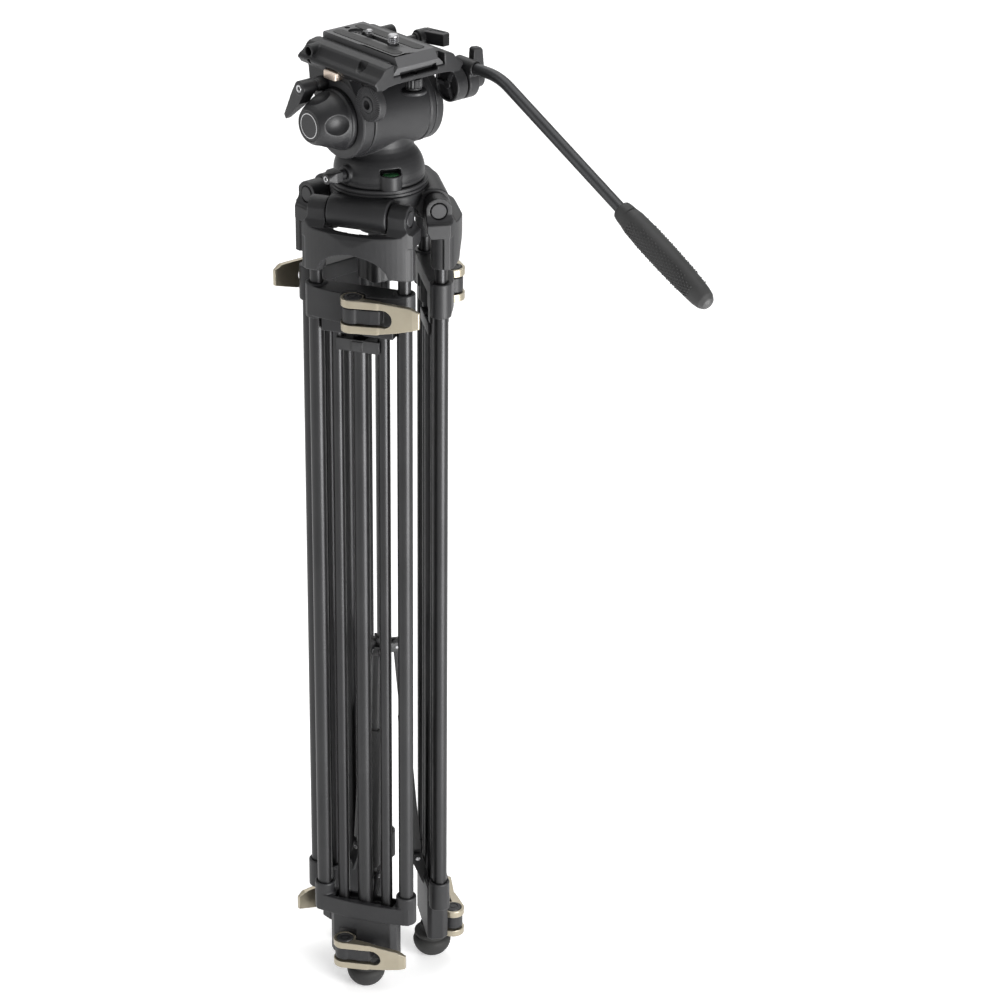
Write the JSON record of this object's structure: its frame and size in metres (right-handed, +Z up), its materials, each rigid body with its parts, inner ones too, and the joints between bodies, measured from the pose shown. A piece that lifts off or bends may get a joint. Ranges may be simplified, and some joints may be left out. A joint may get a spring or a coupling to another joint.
{
  "type": "video tripod with fluid head",
  "caption": "Black video tripod folded upright: twin-tube legs with champagne clamp levers, mid-level spreader, fluid head, quick-release plate and cranked pan handle.",
  "frame": {"origin": "middle of the bounding box on the floor the feet stand on", "axes": "+Z up, +Y the way a camera on the plate looks, +X to the right of the operator"},
  "size_m": [0.168, 0.4286, 0.932],
  "materials": {
    "black_paint": "satin black paint on cast aluminium",
    "anodised_tube": "dark grey anodised, satin",
    "rubber_foot": "matte black rubber",
    "rubber_grip": "soft black rubber with a dotted panel",
    "champagne_lever": "champagne anodised, fine satin",
    "black_plastic": "moulded black plastic",
    "spreader_black": "black powder coat",
    "copper_button": "copper coloured anodised",
    "bubble_glass": "clear green acrylic vial",
    "steel": "bright turned steel"
  },
  "bodies": {
    "crown": {"spider": "black_paint"},
    "upper_section_a": {"leg_yoke_a": "black_paint"},
    "middle_section_a": {"upper_clamp_a": "black_paint", "outer_tube_right_a": "anodised_tube", "outer_tube_left_a": "anodised_tube", "guide_tube_right_a": "anodised_tube", "guide_tube_left_a": "anodised_tube", "bottom_casting_a": "black_paint"},
    "lower_section_a": {"lower_tube_a": "anodised_tube", "foot_a": "rubber_foot"},
    "upper_clamp_lever_a": {"upper_lever_a": "champagne_lever"},
    "lower_clamp_lever_a": {"lower_lever_a": "champagne_lever"},
    "spreader_arm_a": {"spreader_outer_a": "spreader_black"},
    "spreader_bar_a": {"spreader_inner_a": "spreader_black"},
    "upper_section_b": {"leg_yoke_b": "black_paint"},
    "middle_section_b": {"upper_clamp_b": "black_paint", "outer_tube_right_b": "anodised_tube", "outer_tube_left_b": "anodised_tube", "guide_tube_right_b": "anodised_tube", "guide_tube_left_b": "anodised_tube", "bottom_casting_b": "black_paint"},
    "lower_section_b": {"lower_tube_b": "anodised_tube", "foot_b": "rubber_foot"},
    "upper_clamp_lever_b": {"upper_lever_b": "champagne_lever"},
    "lower_clamp_lever_b": {"lower_lever_b": "champagne_lever"},
    "spreader_arm_b": {"spreader_outer_b": "spreader_black"},
    "spreader_bar_b": {"spreader_inner_b": "spreader_black"},
    "upper_section_c": {"leg_yoke_c": "black_paint"},
    "middle_section_c": {"upper_clamp_c": "black_paint", "outer_tube_right_c": "anodised_tube", "outer_tube_left_c": "anodised_tube", "guide_tube_right_c": "anodised_tube", "guide_tube_left_c": "anodised_tube", "bottom_casting_c": "black_paint"},
    "lower_section_c": {"lower_tube_c": "anodised_tube", "foot_c": "rubber_foot"},
    "upper_clamp_lever_c": {"upper_lever_c": "champagne_lever"},
    "lower_clamp_lever_c": {"lower_lever_c": "champagne_lever"},
    "spreader_arm_c": {"spreader_outer_c": "spreader_black"},
    "spreader_bar_c": {"spreader_inner_c": "spreader_black"},
    "spreader_hub": {"spreader_hub": "spreader_black"},
    "levelling_base": {"levelling_base": "black_paint"},
    "tie_down_knob": {"tie_down_knob": "black_plastic"},
    "pan_head": {"pan_housing": "black_paint", "bubble_vial": "bubble_glass"},
    "pan_lock_knob": {"pan_lock_knob": "black_plastic"},
    "tilt_head": {"tilt_platform": "black_paint", "tilt_shaft": "steel"},
    "drag_knob": {"drag_knob": "black_plastic"},
    "tilt_lock_lever": {"tilt_lock_lever": "black_plastic"},
    "camera_plate": {"camera_plate": "black_paint"},
    "small_camera_screw": {"small_camera_screw": "steel"},
    "large_camera_screw": {"large_camera_screw": "steel"},
    "plate_lock_lever": {"plate_lock_lever": "black_plastic"},
    "plate_release_button": {"plate_release_button": "copper_button"},
    "balance_dial": {"balance_dial": "steel"},
    "pan_handle": {"handle_clamp": "black_paint", "handle_rod": "anodised_tube", "handle_grip": "rubber_grip"},
    "handle_lock_knob": {"handle_lock_knob": "black_plastic"}
  },
  "joints": [
    {"name": "leg_splay_a", "type": "hinge", "parent": "crown", "child": "upper_section_a", "pos_m": [-0.00796, 0.18315, 0.7795], "axis": [1, 0, 0], "range_deg": [0, 20]},
    {"name": "middle_slide_a", "type": "slide", "parent": "upper_section_a", "child": "middle_section_a", "axis": [0, 0, -1], "range_m": [0, 0.47]},
    {"name": "lower_slide_a", "type": "slide", "parent": "middle_section_a", "child": "lower_section_a", "axis": [0, 0, -1], "range_m": [0, 0.47]},
    {"name": "upper_lever_turn_a", "type": "hinge", "parent": "middle_section_a", "child": "upper_clamp_lever_a", "pos_m": [-0.00796, 0.20365, 0.692], "axis": [0, 0, -1], "range_deg": [0, 110]},
    {"name": "lower_lever_turn_a", "type": "hinge", "parent": "middle_section_a", "child": "lower_clamp_lever_a", "pos_m": [0.00624, 0.20365, 0.0435], "axis": [0, 0, -1], "range_deg": [0, 110]},
    {"name": "spreader_fold_a", "type": "hinge", "parent": "middle_section_a", "child": "spreader_arm_a", "pos_m": [-0.00796, 0.17065, 0.112], "axis": [1, 0, 0], "range_deg": [-1, 34.79]},
    {"name": "spreader_stretch_a", "type": "slide", "parent": "spreader_arm_a", "child": "spreader_bar_a", "axis": [0, -0.083, 0.9965], "range_m": [-0.002, 0.0638]},
    {"name": "leg_splay_b", "type": "hinge", "parent": "crown", "child": "upper_section_b", "pos_m": [0.03058, 0.1164, 0.7795], "axis": [-0.5, -0.866, 0], "range_deg": [-0.5, 20.5]},
    {"name": "middle_slide_b", "type": "slide", "parent": "upper_section_b", "child": "middle_section_b", "axis": [0, 0, -1], "range_m": [-0.002, 0.472]},
    {"name": "lower_slide_b", "type": "slide", "parent": "middle_section_b", "child": "lower_section_b", "axis": [0, 0, -1], "range_m": [0, 0.47]},
    {"name": "upper_lever_turn_b", "type": "hinge", "parent": "middle_section_b", "child": "upper_clamp_lever_b", "pos_m": [0.04833, 0.10615, 0.692], "axis": [0, 0, -1], "range_deg": [0, 110]},
    {"name": "lower_lever_turn_b", "type": "hinge", "parent": "middle_section_b", "child": "lower_clamp_lever_b", "pos_m": [0.04123, 0.09385, 0.0435], "axis": [0, 0, -1], "range_deg": [0, 110]},
    {"name": "spreader_fold_b", "type": "hinge", "parent": "middle_section_b", "child": "spreader_arm_b", "pos_m": [0.01975, 0.12265, 0.112], "axis": [-0.5, -0.866, 0], "range_deg": [-1, 34.79]},
    {"name": "spreader_stretch_b", "type": "slide", "parent": "spreader_arm_b", "child": "spreader_bar_b", "axis": [-0.0719, 0.0415, 0.9965], "range_m": [-0.002, 0.0638]},
    {"name": "leg_splay_c", "type": "hinge", "parent": "crown", "child": "upper_section_c", "pos_m": [-0.0465, 0.1164, 0.7795], "axis": [-0.5, 0.866, 0], "range_deg": [-0.5, 20.5]},
    {"name": "middle_slide_c", "type": "slide", "parent": "upper_section_c", "child": "middle_section_c", "axis": [0, 0, -1], "range_m": [-0.002, 0.472]},
    {"name": "lower_slide_c", "type": "slide", "parent": "middle_section_c", "child": "lower_section_c", "axis": [0, 0, -1], "range_m": [0, 0.47]},
    {"name": "upper_lever_turn_c", "type": "hinge", "parent": "middle_section_c", "child": "upper_clamp_lever_c", "pos_m": [-0.06425, 0.10615, 0.692], "axis": [0, 0, -1], "range_deg": [0, 110]},
    {"name": "lower_lever_turn_c", "type": "hinge", "parent": "middle_section_c", "child": "lower_clamp_lever_c", "pos_m": [-0.07135, 0.11844, 0.0435], "axis": [0, 0, -1], "range_deg": [0, 110]},
    {"name": "spreader_fold_c", "type": "hinge", "parent": "middle_section_c", "child": "spreader_arm_c", "pos_m": [-0.03567, 0.12265, 0.112], "axis": [-0.5, 0.866, 0], "range_deg": [-1, 34.79]},
    {"name": "spreader_stretch_c", "type": "slide", "parent": "spreader_arm_c", "child": "spreader_bar_c", "axis": [0.0719, 0.0415, 0.9965], "range_m": [-0.002, 0.0638]},
    {"name": "spreader_hub_level", "type": "hinge", "parent": "spreader_bar_a", "child": "spreader_hub", "pos_m": [-0.00796, 0.15165, 0.34], "axis": [1, 0, 0], "range_deg": [-55.29, 2]},
    {"name": "bowl_swivel", "type": "hinge", "parent": "crown", "child": "levelling_base", "pos_m": [-0.00796, 0.13865, 0.796], "axis": [0, 0, 1], "continuous": true},
    {"name": "tie_down_turn", "type": "hinge", "parent": "levelling_base", "child": "tie_down_knob", "pos_m": [-0.00796, 0.13865, 0.73], "axis": [0, 0, 1], "continuous": true},
    {"name": "pan", "type": "hinge", "parent": "levelling_base", "child": "pan_head", "pos_m": [-0.00796, 0.13865, 0.81], "axis": [0, 0, 1], "continuous": true},
    {"name": "pan_lock_turn", "type": "hinge", "parent": "pan_head", "child": "pan_lock_knob", "pos_m": [-0.05296, 0.13565, 0.81], "axis": [-1, 0, 0], "continuous": true},
    {"name": "tilt", "type": "hinge", "parent": "pan_head", "child": "tilt_head", "pos_m": [-0.00796, 0.13865, 0.86], "axis": [-1, 0, 0], "range_deg": [-70, 90]},
    {"name": "drag_turn", "type": "hinge", "parent": "tilt_head", "child": "drag_knob", "pos_m": [-0.06796, 0.13865, 0.86], "axis": [-1, 0, 0], "continuous": true},
    {"name": "tilt_lock_turn", "type": "hinge", "parent": "tilt_head", "child": "tilt_lock_lever", "pos_m": [-0.06796, 0.15665, 0.8875], "axis": [1, 0, 0], "range_deg": [0, 70]},
    {"name": "plate_slide", "type": "slide", "parent": "tilt_head", "child": "camera_plate", "axis": [0, 1, 0], "range_m": [-0.015, 0.015]},
    {"name": "small_screw_turn", "type": "hinge", "parent": "camera_plate", "child": "small_camera_screw", "pos_m": [-0.00796, 0.15065, 0.915], "axis": [0, 0, 1], "continuous": true},
    {"name": "large_screw_turn", "type": "hinge", "parent": "camera_plate", "child": "large_camera_screw", "pos_m": [-0.00796, 0.11865, 0.915], "axis": [0, 0, 1], "continuous": true},
    {"name": "plate_lock_turn", "type": "hinge", "parent": "tilt_head", "child": "plate_lock_lever", "pos_m": [0.05204, 0.14935, 0.91], "axis": [1, 0, 0], "range_deg": [0, 100]},
    {"name": "release_press", "type": "slide", "parent": "tilt_head", "child": "plate_release_button", "axis": [1, 0, 0], "range_m": [0, 0.004], "stiffness_N_per_m": 700, "springref_m": -0.002},
    {"name": "balance_turn", "type": "hinge", "parent": "tilt_head", "child": "balance_dial", "pos_m": [-0.00946, 0.08965, 0.895], "axis": [0, 0, 1], "continuous": true},
    {"name": "handle_angle", "type": "hinge", "parent": "tilt_head", "child": "pan_handle", "pos_m": [0.04804, 0.09265, 0.885], "axis": [1, 0, 0], "range_deg": [-70, 60]},
    {"name": "handle_lock_turn", "type": "hinge", "parent": "pan_handle", "child": "handle_lock_knob", "pos_m": [0.06004, 0.09265, 0.885], "axis": [1, 0, 0], "continuous": true}
  ],
  "couplings": [
    {"joint": "spreader_fold_a", "follows": "leg_splay_a", "ratio": 1.6647},
    {"joint": "spreader_stretch_a", "follows": "leg_splay_a", "m_per_rad": 0.17705},
    {"joint": "spreader_fold_b", "follows": "leg_splay_a", "ratio": 1.6647},
    {"joint": "spreader_stretch_b", "follows": "leg_splay_a", "m_per_rad": 0.17705},
    {"joint": "leg_splay_b", "follows": "leg_splay_a", "ratio": 1},
    {"joint": "middle_slide_b", "follows": "middle_slide_a", "ratio": 1},
    {"joint": "spreader_fold_c", "follows": "leg_splay_a", "ratio": 1.6647},
    {"joint": "spreader_stretch_c", "follows": "leg_splay_a", "m_per_rad": 0.17705},
    {"joint": "leg_splay_c", "follows": "leg_splay_a", "ratio": 1},
    {"joint": "middle_slide_c", "follows": "middle_slide_a", "ratio": 1},
    {"joint": "spreader_hub_level", "follows": "leg_splay_a", "ratio": -2.6647}
  ]
}
